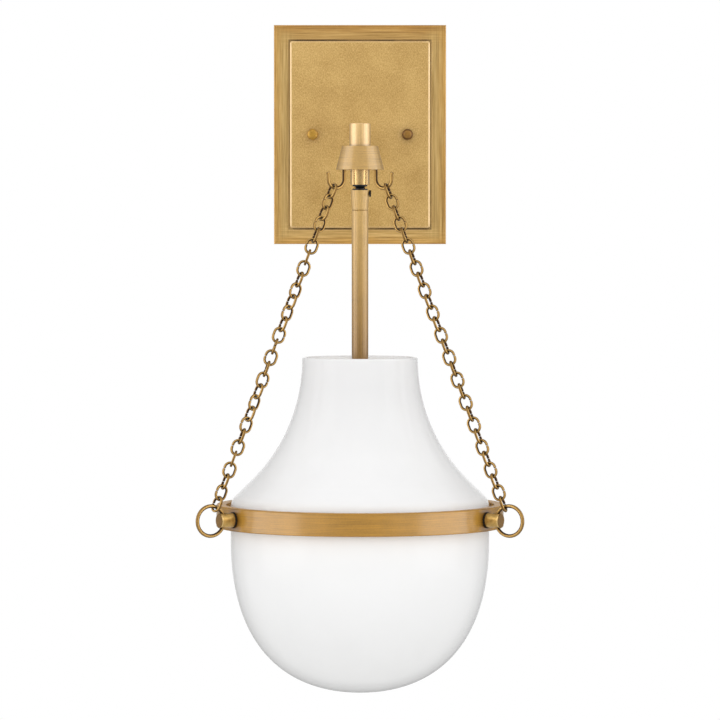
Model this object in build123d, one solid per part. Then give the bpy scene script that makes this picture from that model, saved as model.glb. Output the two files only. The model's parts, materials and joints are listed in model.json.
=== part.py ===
from build123d import *
import math
import os

# A wall sconce: a wall plate with a raised panel, an arm, a cone with three hooks, three chains that carry
# a hoop with an opal shade, and a stem on a ball swivel that carries the lampholder inside the shade.
# Millimetres. The wall is the plane Y = 0, the front faces -Y, Z is up, and the arm leaves the wall at
# Z = 0.

# Wall plate
plate_width = 127.0
plate_height = 161.5
plate_wall = 1.6
plate_edge = 0.8
rim_depth = 12.8
slope_width = 5.4
slope_rise = 0.4
border_width = 11.9
groove_width = 1.1
groove_depth = 0.8
panel_rise = 4.2
panel_edge = 1.3
panel_corner = 1.8

# Wall strap with its box screw slots, studs, nuts and earth screw
strap_width = 18.0
strap_thickness = 2.4
strap_end = 4.0
box_screw_spacing = 88.9
slot_length = 9.0
slot_width = 4.8
stud_spacing = 69.85
stud_diameter = 4.1
lock_nut_flats = 7.0
lock_nut_height = 2.6
cap_nut_diameter = 8.0
cap_nut_length = 7.5
cap_nut_thread = 5.0
cap_nut_round = 2.4
earth_screw_offset = 17.0
earth_screw_diameter = 3.6
earth_head_diameter = 7.0
earth_head_height = 2.4

# Arm
reach = 152.0
arm_diameter = 8.0
arm_bore = 5.2
arm_tail_length = 10.0
arm_shoulder_diameter = 12.6
arm_shoulder_length = 3.0
arm_washer_diameter = 17.0
arm_washer_thickness = 1.0
arm_nut_flats = 14.0
arm_nut_height = 4.5

# Hub, hook cone and threaded nipple
hub_diameter = 14.9
hub_height = 16.0
hub_above_arm = 5.2
hub_edge = 0.6
hub_roof = 3.2
nipple_diameter = 9.6
nipple_bore = 6.4
nipple_below_arm = 5.4
nipple_in_post = 6.6
cone_top_diameter = 25.4
cone_bottom_diameter = 34.0
cone_height = 16.7
cone_recess = 1.2
cone_lip = 1.3

# Hooks, spread about the hanging axis from the rear one
rear_hook_angle = 90.0
hook_spread_angle = 120.0
hook_wire = 2.4
hook_shank_place = 12.9
hook_bowl_radius = 6.35
hook_bowl_drop = 6.7
hook_socket_depth = 5.0
hook_tip_rise = 2.6
hook_flare_radius = 4.0
hook_flare_turn = 30.0

# Ball swivel
post_diameter = 13.4
post_height = 10.6
swivel_gap = 3.8
ball_radius = 4.2
ball_below_collar_top = 4.1
ball_neck_diameter = 5.4
ball_flange_diameter = 10.4
ball_flange_height = 1.1
ball_cone_diameter = 8.2
ball_cone_height = 1.2
ball_shank_diameter = 6.0
wire_way = 4.0
liner_thickness = 0.5
liner_half_height = 1.9
collar_top_diameter = 13.0
collar_bottom_diameter = 11.4
collar_height = 14.2
joint_edge = 0.35
collar_wire_way = 6.0
retainer_seat_rise = 2.3
retainer_diameter = 10.8
retainer_thread_diameter = 10.0
retainer_mouth = 7.3
retainer_rise = 0.9
lock_screw_drop = 2.4
lock_screw_head_diameter = 4.7
lock_screw_head_height = 1.3
lock_screw_diameter = 2.0
lock_screw_length = 1.25

# Stem, lampholder and lamp
stem_diameter = 11.8
stem_length = 150.0
stem_bore = 7.2
spigot_diameter = 8.8
spigot_length = 5.4
socket_cap_diameter = 36.0
socket_cap_height = 14.0
socket_cap_wall = 1.4
socket_nut_flats = 13.0
socket_nut_height = 3.4
socket_body_diameter = 32.6
socket_body_height = 36.0
socket_body_roof = 10.5
socket_screw_diameter = 2.4
socket_screw_head_diameter = 4.8
socket_screw_head_height = 1.4
socket_screw_depth = 3.0
socket_screw_rise = 3.5
screw_shell_bore = 27.0
screw_shell_wall = 0.7
screw_shell_length = 24.6
contact_width = 5.0
contact_length = 16.0
contact_thickness = 0.6
contact_button_diameter = 5.0
contact_button_height = 1.2
lamp_cap_diameter = 26.4
lamp_cap_length = 24.0
lamp_tip_diameter = 9.0
lamp_tip_height = 2.6
lamp_neck_diameter = 26.0
lamp_bulb_diameter = 60.0
lamp_envelope_length = 82.0
lamp_envelope_wall = 0.8

# Insulated wires inside the arm and the stem
lead_diameter = 1.2
lead_spacing = 1.3
lead_bend = 5.0
lead_break = 0.4

# Hoop that carries the shade
hoop_drop = 271.5
hoop_outer_diameter = 203.0
hoop_wall = 6.6
hoop_height = 16.0
hoop_edge = 0.6
ledge_thickness = 3.0
gasket_thickness = 1.5

# Bosses on the hoop, their washers, screws and the loops that hang in them
boss_diameter = 10.2
boss_length = 10.4
boss_edge = 0.5
boss_washer_diameter = 11.1
boss_washer_thickness = 1.2
boss_screw_diameter = 3.0
boss_screw_depth = 3.8
boss_screw_head_diameter = 5.6
boss_screw_head_height = 2.0
boss_screw_sink = 0.4
loop_hole_from_end = 3.4
loop_hole_diameter = 4.8
loop_wire = 2.6
loop_mean_radius = 10.4

# Chains
link_wire = 1.85
link_width = 9.5
link_pitch = 8.5
link_play = 0.15
hook_end_play = 0.35
loop_end_play = 0.75
# Drift of the links about the chain's own line: its middle, its sway to each side, the turn of the sway from
# link to link, and the turn that it starts at
drift_angle = {"left": -8.0, "right": 12.0, "rear": 0.0}
sway_angle = {"left": 20.0, "right": 6.0, "rear": 8.0}
sway_turn_angle = {"left": 40.0, "right": 25.7, "rear": 32.7}
sway_start_angle = {"left": 40.0, "right": 0.0, "rear": 90.0}

# Opal shade
shade_radius = 91.4
shade_wall = 3.0
shade_neck_radius = 40.9
shade_above_hoop = 111.7
shade_below_hoop = 125.3
shade_flare_radius = 120.0
shade_flare_turn = 46.5
shade_shoulder_radius = 12.0
shade_bowl_start = 18.0
shade_bowl_fullness = 0.64
bead_reach = 2.8
bead_height = 4.0
bead_edge = 0.6

# Clearances, each measured on one side
thread_fit = 0.03
hole_fit = 0.15
swivel_fit = 0.06
lamp_fit = 0.3
ledge_fit = 0.7

# Directions of the hooks, chains, loops and bosses
sides = ("rear", "left", "right")
hook_azimuths = {side: rear_hook_angle + k * hook_spread_angle for k, side in enumerate(sides)}

# Distances from the wall
border_front = rim_depth + slope_rise
panel_front = border_front + panel_rise
panel_back = panel_front - plate_wall
arm_tail = panel_back - arm_tail_length
nipple_hole_radius = nipple_diameter / 2 + thread_fit
arm_front = reach - nipple_hole_radius - hole_fit

# Heights, from the hub down to the stem
hub_top = hub_above_arm
cone_top = hub_top - hub_height
cone_bottom = cone_top - cone_height
post_top = cone_bottom + cone_recess
post_bottom = cone_bottom - post_height
nipple_bottom = post_top - nipple_in_post
collar_top = post_bottom - swivel_gap
collar_bottom = collar_top - collar_height
ball_height = collar_top - ball_below_collar_top
stem_bottom = collar_bottom - stem_length
liner_outer = ball_radius + swivel_fit + liner_thickness
socket_radius = liner_outer + swivel_fit
retainer_seat = ball_height + retainer_seat_rise

# Heights inside the lampholder
cap_skirt = stem_bottom - socket_cap_height
body_top = stem_bottom - spigot_length - socket_cap_wall
body_bottom = body_top - socket_body_height
body_roof = body_top - socket_body_roof
screw_shell_top = body_roof - contact_thickness
contact_tip = screw_shell_top - contact_button_height
lamp_top = contact_tip - lamp_fit
lamp_shell_top = lamp_top - lamp_tip_height
lamp_joint = lamp_shell_top - lamp_cap_length
lamp_bottom = lamp_joint - lamp_envelope_length

# Hoop, shade and loop levels
hoop_middle = -hoop_drop
hoop_top = hoop_middle + hoop_height / 2
hoop_bottom = hoop_middle - hoop_height / 2
hoop_outer = hoop_outer_diameter / 2
hoop_inner = hoop_outer - hoop_wall
ledge_inner = shade_radius + ledge_fit
ledge_top = hoop_bottom + ledge_thickness
bead_bottom = ledge_top + gasket_thickness
bead_radius = shade_radius + bead_reach
boss_base = hoop_outer + boss_washer_thickness
boss_end = boss_base + boss_length
loop_hole_place = boss_end - loop_hole_from_end
loop_sag = loop_mean_radius - math.sqrt(loop_mean_radius ** 2 - (boss_diameter / 2) ** 2)
loop_place = loop_hole_place + loop_mean_radius - loop_sag / 2

# Line of a chain, from the middle of its hook's bowl to the middle of its loop
hook_place = hook_shank_place + hook_bowl_radius
hook_middle = cone_bottom - hook_bowl_drop
chain_run = math.hypot(loop_place - hook_place, hook_middle - hoop_middle)
chain_lean = math.degrees(math.atan2(loop_place - hook_place, hook_middle - hoop_middle))
chain_first = hook_bowl_radius - (hook_wire + link_wire) / 2 - hook_end_play
chain_last = chain_run - loop_mean_radius + (loop_wire + link_wire) / 2 + loop_end_play
chain_span = chain_last - chain_first - link_wire - link_play
link_count = 2 * round((chain_span / link_pitch - 1) / 2) + 1
link_step = chain_span / link_count
link_inner_length = link_step + link_play


def from_wall(shape):
    """Turns a piece that was made standing up along Z so that it stands out of the wall along -Y."""
    return Rot(90, 0, 0) * shape


def hang(shape):
    """Moves a piece that was made about the Z axis onto the axis below the end of the arm."""
    return Pos(0, -reach, 0) * shape


def around(shape, azimuth):
    """Turns a piece that was made along +X to an azimuth about the hanging axis."""
    return Pos(0, -reach, 0) * Rot(0, 0, azimuth) * shape


def turned(*corners):
    """A piece turned about Z from the corners of its half section, each a radius and a height."""
    return revolve(make_face(Polyline(*[(r, 0, z) for r, z in corners], close=True)), Axis.Z)


def rod(diameter, low, high):
    """A round bar along Z between two heights."""
    return Pos(0, 0, low) * Cylinder(diameter / 2, high - low, align=(Align.CENTER, Align.CENTER, Align.MIN))


def radial_rod(diameter, near, far):
    """A round bar along +X between two distances from the axis."""
    return Rot(0, 90, 0) * rod(diameter, near, far)


def hexagon(flats, bore, low, high):
    """A hexagon nut along Z between two heights."""
    blank = extrude(RegularPolygon(flats / 2, 6, major_radius=False), high - low)
    return Pos(0, 0, low) * blank - rod(bore, low, high)


def slab(width, height, low, high):
    """A rectangular layer between two distances from the wall."""
    return Pos(0, 0, low) * Box(width, height, high - low, align=(Align.CENTER, Align.CENTER, Align.MIN))


def plate_layer(inset, low, high):
    """A layer of the wall plate, drawn in from the plate's outline."""
    return slab(plate_width - 2 * inset, plate_height - 2 * inset, low, high)


def round_front(layer, radius):
    """Rounds the front rim of a layer."""
    return fillet(layer.faces().sort_by(Axis.Z)[-1].edges(), radius)


def at_studs(shape):
    """A copy of a piece at each of the two studs."""
    return [Pos(side * stud_spacing / 2, 0, 0) * shape for side in (-1, 1)]


# Wall plate and strap

def plate_outline(inset, height):
    """The plate's outline, drawn in and at a distance from the wall."""
    return Pos(0, 0, height) * Rectangle(plate_width - 2 * inset, plate_height - 2 * inset)


def backplate():
    slope = loft([plate_outline(0, rim_depth), plate_outline(slope_width, border_front)])
    border = plate_layer(0, 0, rim_depth) + slope
    border = fillet(border.edges().filter_by_position(Axis.Z, rim_depth, rim_depth), plate_edge)
    panel = plate_layer(border_width, 0, panel_front)
    panel = fillet(panel.edges().filter_by(Axis.Z), panel_corner)
    panel = round_front(panel, panel_edge)
    groove = plate_layer(border_width - groove_width, border_front - groove_depth, panel_front)
    shell = border - groove + panel
    shell -= plate_layer(plate_wall, 0, rim_depth - plate_wall)
    shell -= plate_layer(border_width + plate_wall, 0, panel_back)
    shell -= rod(arm_diameter + 2 * hole_fit, 0, panel_front)
    for hole in at_studs(rod(stud_diameter + 2 * hole_fit, 0, panel_front)):
        shell -= hole
    return from_wall(shell)


def mounting_strap():
    length = box_screw_spacing + slot_length + 2 * strap_end
    strap = slab(length, strap_width, 0, strap_thickness)
    strap -= rod(arm_diameter, 0, strap_thickness)
    strap -= Pos(earth_screw_offset, 0, 0) * rod(earth_screw_diameter + 2 * thread_fit, 0, strap_thickness)
    for hole in at_studs(rod(stud_diameter + 2 * thread_fit, 0, strap_thickness)):
        strap -= hole
    slot = extrude(SlotOverall(slot_length, slot_width), strap_thickness)
    for side in (-1, 1):
        strap -= Pos(side * box_screw_spacing / 2, 0, 0) * slot
    return from_wall(strap)


def mounting_studs():
    stud = rod(stud_diameter, 0, panel_front + cap_nut_thread)
    return from_wall(Compound(children=at_studs(stud)))


def stud_lock_nuts():
    nut_top = strap_thickness + lock_nut_height
    nut = hexagon(lock_nut_flats, stud_diameter + 2 * thread_fit, strap_thickness, nut_top)
    return from_wall(Compound(children=at_studs(nut)))


def cap_nut(side):
    nut_front = panel_front + cap_nut_length
    nut = round_front(rod(cap_nut_diameter, panel_front, nut_front), cap_nut_round)
    nut -= rod(stud_diameter + 2 * swivel_fit, panel_front, panel_front + cap_nut_thread + hole_fit)
    return from_wall(Pos(side * stud_spacing / 2, 0, 0) * nut)


def earth_screw():
    screw = rod(earth_screw_diameter, 0, strap_thickness)
    screw += rod(earth_head_diameter, strap_thickness, strap_thickness + earth_head_height)
    return from_wall(Pos(earth_screw_offset, 0, 0) * screw)


# Arm, hub and cone

def arm():
    tube = rod(arm_diameter, arm_tail, arm_front)
    tube += rod(arm_shoulder_diameter, panel_front, panel_front + arm_shoulder_length)
    return from_wall(tube - rod(arm_bore, arm_tail, arm_front))


def arm_washer():
    low = panel_back - arm_washer_thickness
    ring = rod(arm_washer_diameter, low, panel_back)
    return from_wall(ring - rod(arm_diameter + 2 * hole_fit, low, panel_back))


def arm_nut():
    high = panel_back - arm_washer_thickness
    return from_wall(hexagon(arm_nut_flats, arm_diameter + 2 * thread_fit, high - arm_nut_height, high))


def hub():
    body = round_front(rod(hub_diameter, cone_top, hub_top), hub_edge)
    body -= rod(2 * nipple_hole_radius, cone_top, hub_top - hub_roof)
    arm_socket = from_wall(rod(arm_diameter + 2 * thread_fit, reach - hub_diameter, reach))
    return hang(body) - arm_socket


def hub_nipple():
    pipe = rod(nipple_diameter, nipple_bottom, -nipple_below_arm)
    return hang(pipe - rod(nipple_bore, nipple_bottom, -nipple_below_arm))


def hook_cone():
    bottom_radius = cone_bottom_diameter / 2
    cone = turned(
        (nipple_hole_radius, cone_top),
        (cone_top_diameter / 2, cone_top),
        (bottom_radius, cone_bottom),
        (bottom_radius - cone_lip, cone_bottom),
        (bottom_radius - cone_lip, post_top),
        (nipple_hole_radius, post_top),
    )
    socket = rod(hook_wire + 2 * thread_fit, post_top, post_top + hook_socket_depth)
    for azimuth in hook_azimuths.values():
        cone -= Rot(0, 0, azimuth) * Pos(hook_shank_place, 0, 0) * socket
    return hang(cone)


def hook(azimuth):
    tip_place = hook_place + hook_bowl_radius
    tip_height = hook_middle + hook_tip_rise
    shank_top = post_top + hook_socket_depth
    shank = Line((hook_shank_place, 0, shank_top), (hook_shank_place, 0, hook_middle))
    bowl = ThreePointArc(
        (hook_shank_place, 0, hook_middle),
        (hook_place, 0, hook_middle - hook_bowl_radius),
        (tip_place, 0, hook_middle),
    )
    tip = Line((tip_place, 0, hook_middle), (tip_place, 0, tip_height))

    def flare_point(turn):
        turn = math.radians(turn)
        out = hook_flare_radius * (1 - math.cos(turn))
        return (tip_place + out, 0, tip_height + hook_flare_radius * math.sin(turn))

    flare = ThreePointArc(flare_point(0), flare_point(hook_flare_turn / 2), flare_point(hook_flare_turn))
    section = Plane(shank @ 0, z_dir=(0, 0, -1)) * Circle(hook_wire / 2)
    return around(sweep(section, path=Wire([shank, bowl, tip, flare])), azimuth)


# Ball swivel

def swivel_post():
    shank_hole = ball_shank_diameter / 2 + thread_fit
    floor = nipple_bottom - hole_fit
    return hang(turned(
        (nipple_hole_radius, post_top),
        (post_diameter / 2, post_top),
        (post_diameter / 2, post_bottom),
        (shank_hole, post_bottom),
        (shank_hole, floor),
        (nipple_hole_radius, floor),
    ))


def swivel_ball():
    flange_bottom = post_bottom - ball_flange_height
    cone_end = flange_bottom - ball_cone_height
    stud = turned(
        (0, nipple_bottom - hole_fit),
        (ball_shank_diameter / 2, nipple_bottom - hole_fit),
        (ball_shank_diameter / 2, post_bottom),
        (ball_flange_diameter / 2, post_bottom),
        (ball_flange_diameter / 2, flange_bottom),
        (ball_cone_diameter / 2, flange_bottom),
        (ball_neck_diameter / 2, cone_end),
        (ball_neck_diameter / 2, ball_height),
        (0, ball_height),
    )
    stud += Pos(0, 0, ball_height) * Sphere(ball_radius)
    return hang(stud - rod(wire_way, ball_height - 2 * ball_radius, post_top))


def swivel_liner():
    ball = Sphere(liner_outer) - Sphere(ball_radius + swivel_fit)
    zone = Cylinder(liner_outer, 2 * liner_half_height)
    return hang(Pos(0, 0, ball_height) * (ball & zone))


def swivel_retainer():
    mouth = retainer_mouth / 2
    rim = retainer_diameter / 2
    thread = retainer_thread_diameter / 2
    return hang(turned(
        (mouth, retainer_seat),
        (thread, retainer_seat),
        (thread, collar_top),
        (rim, collar_top),
        (rim, collar_top + retainer_rise),
        (mouth, collar_top + retainer_rise),
    ))


def lock_screw_height():
    return collar_top - lock_screw_drop


def swivel_collar():
    spigot_hole = spigot_diameter / 2 + thread_fit
    thread_hole = retainer_thread_diameter / 2 + thread_fit
    spigot_top = collar_bottom + spigot_length + hole_fit
    body = turned(
        (0, collar_bottom),
        (collar_bottom_diameter / 2 - joint_edge, collar_bottom),
        (collar_bottom_diameter / 2, collar_bottom + joint_edge),
        (collar_top_diameter / 2, collar_top),
        (0, collar_top),
    )
    body -= rod(2 * spigot_hole, collar_bottom, spigot_top)
    body -= rod(collar_wire_way, collar_bottom, ball_height)
    body -= rod(2 * thread_hole, retainer_seat, collar_top)
    socket = Sphere(socket_radius) & rod(2 * socket_radius, -socket_radius, retainer_seat_rise)
    body -= Pos(0, 0, ball_height) * socket
    screw_hole = radial_rod(lock_screw_diameter + 2 * thread_fit, 0, collar_top_diameter)
    return hang(body - Pos(0, 0, lock_screw_height()) * screw_hole)


def collar_lock_screw():
    seat = collar_top_diameter / 2
    screw = radial_rod(lock_screw_diameter, seat - lock_screw_length, seat)
    screw += radial_rod(lock_screw_head_diameter, seat, seat + lock_screw_head_height)
    return hang(Pos(0, 0, lock_screw_height()) * screw)


# Stem, lampholder and lamp

def stem_tube():
    tube = rod(stem_diameter, stem_bottom, collar_bottom)
    tube = chamfer(tube.faces().sort_by(Axis.Z)[-1].edges(), joint_edge)
    tube += rod(spigot_diameter, stem_bottom - spigot_length, collar_bottom + spigot_length)
    return hang(tube - rod(stem_bore, stem_bottom - spigot_length, collar_bottom + spigot_length))


def socket_cap():
    outer = socket_cap_diameter / 2
    inner = outer - socket_cap_wall
    hole = spigot_diameter / 2 + hole_fit
    cap = turned(
        (hole, stem_bottom),
        (outer, stem_bottom),
        (outer, cap_skirt),
        (inner, cap_skirt),
        (inner, stem_bottom - socket_cap_wall),
        (hole, stem_bottom - socket_cap_wall),
    )
    cap = fillet(cap.edges().group_by(Axis.Z)[-1].sort_by(SortBy.LENGTH)[-1], 2 * socket_cap_wall)
    cap -= Pos(0, 0, socket_screw_height()) * radial_rod(
        socket_screw_diameter + 2 * hole_fit, -socket_cap_diameter, socket_cap_diameter)
    return hang(cap)


def socket_screw_height():
    return cap_skirt + socket_screw_rise


def socket_locknut():
    high = stem_bottom - socket_cap_wall
    return hang(hexagon(socket_nut_flats, spigot_diameter + 2 * thread_fit, high - socket_nut_height, high))


def socket_body():
    shell_hole = screw_shell_bore / 2 + screw_shell_wall + thread_fit
    body = rod(socket_body_diameter, body_bottom, body_top)
    body -= rod(2 * shell_hole, body_bottom, body_roof)
    for place in socket_screw_places():
        body -= place * radial_rod(
            socket_screw_diameter + 2 * thread_fit,
            socket_body_diameter / 2 - socket_screw_depth,
            socket_body_diameter / 2,
        )
    return hang(body)


def socket_screw_places():
    return [Pos(0, 0, socket_screw_height()) * Rot(0, 0, turn) for turn in (0, 180)]


def socket_screws():
    seat = socket_cap_diameter / 2
    screw = radial_rod(socket_screw_diameter, socket_body_diameter / 2 - socket_screw_depth, seat)
    screw += radial_rod(socket_screw_head_diameter, seat, seat + socket_screw_head_height)
    return hang(Compound(children=[place * screw for place in socket_screw_places()]))


def screw_shell():
    bore = screw_shell_bore
    low = screw_shell_top - screw_shell_length
    return hang(rod(bore + 2 * screw_shell_wall, low, screw_shell_top) - rod(bore, low, screw_shell_top))


def centre_contact():
    strip = slab(contact_length, contact_width, screw_shell_top, body_roof)
    return hang(strip + rod(contact_button_diameter, contact_tip, screw_shell_top))


def lamp_cap():
    tip = lamp_tip_diameter / 2
    shell = lamp_cap_diameter / 2
    return hang(turned(
        (0, lamp_top),
        (tip, lamp_top),
        (shell, lamp_shell_top),
        (shell, lamp_joint),
        (0, lamp_joint),
    ))


def lamp_envelope_face(inset):
    """Half section of the lamp's glass, moved inwards by inset."""
    neck = lamp_neck_diameter / 2 - inset
    bulb = lamp_bulb_diameter / 2
    middle = lamp_bottom + bulb
    bulge = Spline(
        (neck, 0, lamp_joint),
        (bulb - inset, 0, middle),
        tangents=[(0, 0, -1), (0, 0, -1)],
    )
    slant = (bulb - inset) * math.sqrt(0.5)
    crown = ThreePointArc((bulb - inset, 0, middle), (slant, 0, middle - slant), (0, 0, lamp_bottom + inset))
    axis = Line((0, 0, lamp_bottom + inset), (0, 0, lamp_joint))
    top = Line((0, 0, lamp_joint), (neck, 0, lamp_joint))
    return make_face([bulge, crown, axis, top])


def lamp_envelope():
    outside = revolve(lamp_envelope_face(0), Axis.Z)
    return hang(outside - revolve(lamp_envelope_face(lamp_envelope_wall), Axis.Z))


# Insulated wires

def lead_pair(make):
    return Compound(children=[make(side * lead_spacing / 2) for side in (-1, 1)])


def arm_leads():
    low = ball_height + lead_break / 2

    def lead(x):
        start = (x, -arm_tail, 0)
        path = FilletPolyline(start, (x, -reach, 0), (x, -reach, low), radius=lead_bend)
        return sweep(Plane(start, z_dir=(0, -1, 0)) * Circle(lead_diameter / 2), path=path)

    return lead_pair(lead)


def stem_leads():
    high = ball_height - lead_break / 2
    return hang(lead_pair(lambda x: Pos(x, 0, 0) * rod(lead_diameter, body_top, high)))


# Hoop, bosses and loops

def hoop_ring():
    ring = turned(
        (ledge_inner, hoop_bottom),
        (hoop_outer - hoop_edge, hoop_bottom),
        (hoop_outer, hoop_bottom + hoop_edge),
        (hoop_outer, hoop_top - hoop_edge),
        (hoop_outer - hoop_edge, hoop_top),
        (hoop_inner + hoop_edge, hoop_top),
        (hoop_inner, hoop_top - hoop_edge),
        (hoop_inner, ledge_top),
        (ledge_inner, ledge_top),
    )
    way = radial_rod(boss_screw_diameter + 2 * hole_fit, ledge_inner, boss_base)
    way += radial_rod(boss_screw_head_diameter + 2 * hole_fit, ledge_inner, boss_screw_seat())
    for azimuth in hook_azimuths.values():
        ring -= Pos(0, 0, hoop_middle) * Rot(0, 0, azimuth) * way
    return hang(ring)


def boss_screw_seat():
    """Radius on which the head of a boss screw bears, sunk into the inside of the hoop."""
    return hoop_inner + boss_screw_sink + boss_screw_head_height


def hoop_gasket():
    inner = ledge_inner + hole_fit
    outer = hoop_inner - hole_fit
    return hang(rod(2 * outer, ledge_top, bead_bottom) - rod(2 * inner, ledge_top, bead_bottom))


def at_hoop(shape):
    return Pos(0, 0, hoop_middle) * shape


def boss(azimuth):
    body = radial_rod(boss_diameter, boss_base, boss_end)
    body = chamfer(body.faces().sort_by(Axis.X)[-1].edges(), boss_edge)
    body -= radial_rod(boss_screw_diameter + 2 * thread_fit, boss_base, boss_base + boss_screw_depth)
    body -= Pos(loop_hole_place, 0, 0) * rod(loop_hole_diameter, -boss_diameter, boss_diameter)
    return around(at_hoop(body), azimuth)


def boss_washers():
    ring = radial_rod(boss_washer_diameter, hoop_outer, boss_base)
    ring -= radial_rod(boss_screw_diameter + 2 * hole_fit, hoop_outer, boss_base)
    return Compound(children=[around(at_hoop(ring), azimuth) for azimuth in hook_azimuths.values()])


def boss_screws():
    seat = boss_screw_seat()
    screw = radial_rod(boss_screw_diameter, seat, boss_base + boss_screw_depth)
    screw += radial_rod(boss_screw_head_diameter, seat - boss_screw_head_height, seat)
    return Compound(children=[around(at_hoop(screw), azimuth) for azimuth in hook_azimuths.values()])


def loop(azimuth):
    ring = Rot(90, 0, 0) * Torus(loop_mean_radius, loop_wire / 2)
    return around(at_hoop(Pos(loop_place, 0, 0) * ring), azimuth)


# Chains

def chain_link():
    """One link in the XZ plane, long along Z, with round ends."""
    bend = (link_width - link_wire) / 2
    half_side = (link_inner_length + link_wire) / 2 - bend
    bow = Pos(0, 0, half_side) * Rot(90, 0, 0) * Torus(bend, link_wire / 2, major_angle=180, align=None)
    link = bow + Rot(0, 180, 0) * bow
    for side in (-1, 1):
        link += Pos(side * bend, 0, 0) * rod(link_wire, -half_side, half_side)
    return link


def chain(side):
    lean = math.radians(chain_lean)
    first = chain_first + (link_inner_length + link_wire) / 2
    link = chain_link()
    links = []
    for k in range(link_count):
        along = first + k * link_step
        sway_turn = math.radians(sway_start_angle[side] + k * sway_turn_angle[side])
        drift = drift_angle[side] + sway_angle[side] * math.sin(sway_turn)
        place = Pos(hook_place + along * math.sin(lean), 0, hook_middle - along * math.cos(lean))
        turned_link = Rot(0, -chain_lean, 0) * Rot(0, 0, 90 * (k + 1) + drift) * link
        links.append(around(place * turned_link, hook_azimuths[side]))
    return Compound(children=links)


# Shade

def shade_outline(inset):
    """Edges of the shade's half section from lip to lowest point, moved into the glass by inset."""
    top = hoop_middle + shade_above_hoop - shade_wall / 2
    turn = math.radians(shade_flare_turn)
    flare_middle = (shade_neck_radius + shade_flare_radius, top)
    shoulder_x = shade_radius - shade_shoulder_radius
    flare_end_x = flare_middle[0] - shade_flare_radius * math.cos(turn)
    flare_end_z = top - shade_flare_radius * math.sin(turn)
    slope_end_x = shoulder_x + shade_shoulder_radius * math.cos(turn)
    slope_end_z = flare_end_z - (slope_end_x - flare_end_x) / math.tan(turn)
    shoulder_middle = (shoulder_x, slope_end_z - shade_shoulder_radius * math.sin(turn))

    def on_flare(angle):
        radius = shade_flare_radius + inset
        return (flare_middle[0] - radius * math.cos(angle), 0, top - radius * math.sin(angle))

    def on_shoulder(angle):
        radius = shade_shoulder_radius - inset
        return (shoulder_x + radius * math.cos(angle), 0, shoulder_middle[1] + radius * math.sin(angle))

    wall = shade_radius - inset
    bowl_top = hoop_middle - shade_bowl_start
    bowl_bottom = hoop_middle - shade_below_hoop + inset
    bowl_depth = bowl_top - bowl_bottom
    return [
        ThreePointArc(on_flare(0), on_flare(turn / 2), on_flare(turn)),
        Line(on_flare(turn), on_shoulder(turn)),
        ThreePointArc(on_shoulder(turn), on_shoulder(turn / 2), on_shoulder(0)),
        Line(on_shoulder(0), (wall, 0, bowl_top)),
        Bezier(
            (wall, 0, bowl_top),
            (wall, 0, bowl_top - shade_bowl_fullness * bowl_depth),
            (shade_bowl_fullness * wall, 0, bowl_bottom),
            (0, 0, bowl_bottom),
        ),
    ]


def glass_shade():
    outside = shade_outline(0)
    inside = shade_outline(shade_wall)
    lip_top = (shade_neck_radius - shade_wall / 2, 0, hoop_middle + shade_above_hoop)
    lip = ThreePointArc(outside[0] @ 0, lip_top, inside[0] @ 0)
    axis = Line(outside[-1] @ 1, inside[-1] @ 1)
    shell = revolve(make_face(outside + inside + [lip, axis]), Axis.Z)
    bead_top = bead_bottom + bead_height
    root = shade_radius - shade_wall / 2
    bead = turned(
        (root, bead_bottom),
        (bead_radius, bead_bottom),
        (bead_radius, bead_top - bead_edge),
        (bead_radius - bead_edge, bead_top),
        (root, bead_top),
    )
    return hang(shell + bead)


pieces = {
    "mounting_strap": mounting_strap(),
    "mounting_studs": mounting_studs(),
    "stud_lock_nuts": stud_lock_nuts(),
    "earth_screw": earth_screw(),
    "backplate": backplate(),
    "cap_nut_left": cap_nut(-1),
    "cap_nut_right": cap_nut(1),
    "arm": arm(),
    "arm_washer": arm_washer(),
    "arm_nut": arm_nut(),
    "arm_leads": arm_leads(),
    "hub": hub(),
    "hub_nipple": hub_nipple(),
    "hook_cone": hook_cone(),
    "swivel_post": swivel_post(),
    "swivel_ball": swivel_ball(),
    "swivel_liner": swivel_liner(),
    "swivel_retainer": swivel_retainer(),
    "swivel_collar": swivel_collar(),
    "collar_lock_screw": collar_lock_screw(),
    "stem_tube": stem_tube(),
    "stem_leads": stem_leads(),
    "socket_cap": socket_cap(),
    "socket_locknut": socket_locknut(),
    "socket_body": socket_body(),
    "socket_screws": socket_screws(),
    "screw_shell": screw_shell(),
    "centre_contact": centre_contact(),
    "lamp_cap": lamp_cap(),
    "lamp_envelope": lamp_envelope(),
    "hoop_ring": hoop_ring(),
    "hoop_gasket": hoop_gasket(),
    "boss_washers": boss_washers(),
    "boss_screws": boss_screws(),
    "glass_shade": glass_shade(),
}
for side, azimuth in hook_azimuths.items():
    pieces["hook_" + side] = hook(azimuth)
    pieces["boss_" + side] = boss(azimuth)
    pieces["loop_" + side] = loop(azimuth)
    pieces["chain_" + side] = chain(side)

os.makedirs("parts", exist_ok=True)
for name, piece in pieces.items():
    export_step(piece, "parts/" + name + ".step")
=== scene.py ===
import json
import math

import bmesh
import bpy
import numpy as np
from mathutils import Matrix, Vector


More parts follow.
